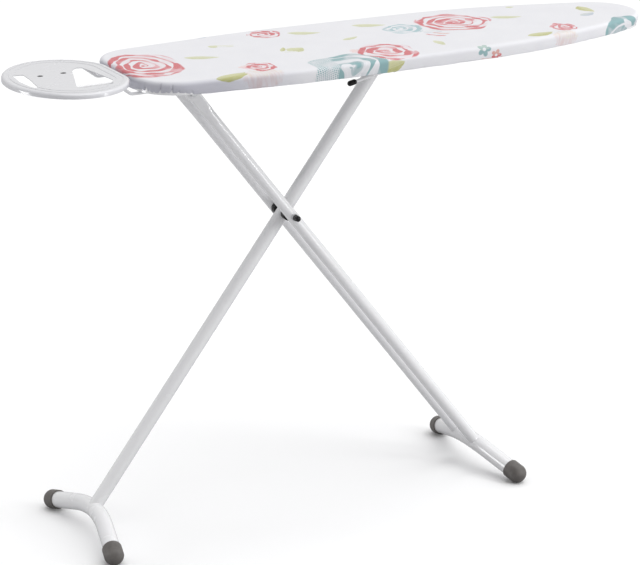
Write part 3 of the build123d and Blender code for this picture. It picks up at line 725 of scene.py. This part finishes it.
# ---- foam pad ----
def make_foam():
    """The pad: flat on the steel, with its edge rounded to follow the cloth."""
    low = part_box("foam_pad")[0].z
    edge, normal = EDGE[::4], NORMAL[::4]
    count, radius = len(edge), SHOULDER - FOAM_GAP
    high = TOP - FOAM_GAP
    spine = spine_of(edge)
    turns = np.linspace(0, math.acos((low - TOP + SHOULDER) / radius), 7)
    sides = [(SHOULDER - radius * math.sin(a), TOP - SHOULDER + radius * math.cos(a)) for a in turns]
    inset = sides[-1][0]
    rows = [np.column_stack([spine + (edge - normal * sides[0][0] - spine) * t, np.full(count, high)])
            for t in np.linspace(0.0, 1.0, 9)[:-1]]
    rows += [np.column_stack([edge - normal * gap, np.full(count, z)]) for gap, z in sides]
    rows += [np.column_stack([spine + (edge - normal * inset - spine) * t, np.full(count, low)])
             for t in (0.75, 0.5, 0.25, 0.0)]
    verts = np.vstack(rows)
    faces = [face[::-1] for face in lattice(len(rows), count)]
    piece = new_mesh("foam_core", verts, faces, MATERIALS["foam"])
    work = bmesh.new()
    work.from_mesh(piece.data)
    bmesh.ops.remove_doubles(work, verts=work.verts, dist=0.00002)
    bmesh.ops.recalc_face_normals(work, faces=work.faces)
    work.to_mesh(piece.data)
    work.free()
    return piece


foam_core = make_foam()
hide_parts("foam_pad")
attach(foam_core, "board")


# ---- elastic in the hem ----
ELASTIC_INSET = 0.0178         # from the board's edge to the tape's middle
ELASTIC_HALF = 0.0016          # half the tape's width
ELASTIC_THICK = 0.0008         # half its thickness
ELASTIC_WAVES = 330            # ripples of the drawn tape, right round
ELASTIC_RIPPLE = 0.0003


def make_elastic():
    """A flat tape with chamfered edges, rippled along its length."""
    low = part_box("hem_cord")[0].z
    edge, normal, along = EDGE[::2], NORMAL[::2], ALONG[::2]
    half, flat, thick = ELASTIC_HALF, ELASTIC_HALF * 0.8, ELASTIC_THICK
    section = [(-half, thick), (-flat, 0.0), (flat, 0.0),
               (half, thick), (flat, 2 * thick), (-flat, 2 * thick)]
    ripple = ELASTIC_RIPPLE * np.sin(along * 2 * math.pi * ELASTIC_WAVES / ROUND)
    rows = [np.column_stack([edge + normal * (out - ELASTIC_INSET), low + up + ripple])
            for out, up in section]
    faces = lattice(len(rows), len(edge), closed_rows=True)
    return new_mesh("hem_elastic", np.vstack(rows), faces, MATERIALS["elastic"])


hem = make_elastic()
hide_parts("hem_cord")
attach(hem, "board")


# ---- floor and light ----
FLOOR_HALF = 30.0
TENT_LEVEL, TENT_SIDE, TENT_TOP = 0.55, 0.32, 0.25    # even light, gain towards the nose, gain upwards
TENT_SEEN = 1.02                                      # what the camera sees of it


def make_floor():
    """A pale floor: as bright as the backdrop to look at, but it throws back only part of the light."""
    g = material_graph("floor")
    tone = g.noise(g.place(), 1.2, 3.0)
    seen = g.node("ShaderNodeLightPath").outputs["Is Camera Ray"]
    pale = g.mix(tone, rgb(0.94, 0.94, 0.945), rgb(0.96, 0.96, 0.965))
    colour = g.mix(seen, rgb(0.50, 0.50, 0.51), pale)
    material = g.finish(Base_Color=colour, Roughness=0.9, Specular_IOR_Level=0.1)
    corners = [(x * FLOOR_HALF, y * FLOOR_HALF, 0) for x, y in ((-1, -1), (1, -1), (1, 1), (-1, 1))]
    mesh = bpy.data.meshes.new("floor")
    mesh.from_pydata(corners, [], [(0, 1, 2, 3)])
    floor = bpy.data.objects.new("floor", mesh)
    collection.objects.link(floor)
    mesh.materials.append(material)


def make_world():
    """A light tent: white to look at, dimmer on the tail's side so that round parts show their shape."""
    world = bpy.data.worlds.new("studio")
    scene.world = world
    g = Graph(world)
    back = g.tree.nodes["Background"]
    x, _, z = g.split(g.node("ShaderNodeTexCoord").outputs["Generated"])
    glow = g.add(TENT_LEVEL, g.add(g.mul(x, TENT_SIDE), g.mul(z, TENT_TOP)))
    seen = g.node("ShaderNodeLightPath").outputs["Is Camera Ray"]
    g.put(back.inputs["Strength"], g.add(g.mul(seen, TENT_SEEN), g.mul(g.sub(1.0, seen), glow)))
    back.inputs["Color"].default_value = rgb(1.0, 1.0, 1.0)


def lamp(name, kind, place, aim, power, **settings):
    """A light at a place, turned to a point."""
    data = bpy.data.lights.new(name, kind)
    data.energy = power
    for key, value in settings.items():
        setattr(data, key, value)
    made = bpy.data.objects.new(name, data)
    collection.objects.link(made)
    made.location = place
    made.rotation_euler = (Vector(aim) - Vector(place)).to_track_quat("-Z", "Y").to_euler()


make_floor()
make_world()
lamp("overhead", "SUN", (1.0, -0.6, 4.0), (0, 0, 0), 1.25, angle=math.radians(70))
lamp("right_strip", "AREA", (1.9, -2.3, 1.1), (0.2, 0.0, 0.6), 24, shape="RECTANGLE", size=0.35, size_y=2.2)
lamp("left_strip", "AREA", (-3.0, 1.3, 0.5), (-0.3, 0.0, 0.3), 20, shape="RECTANGLE", size=0.8, size_y=1.4)
scene.view_settings.view_transform = "Standard"
scene.view_settings.look = "None"
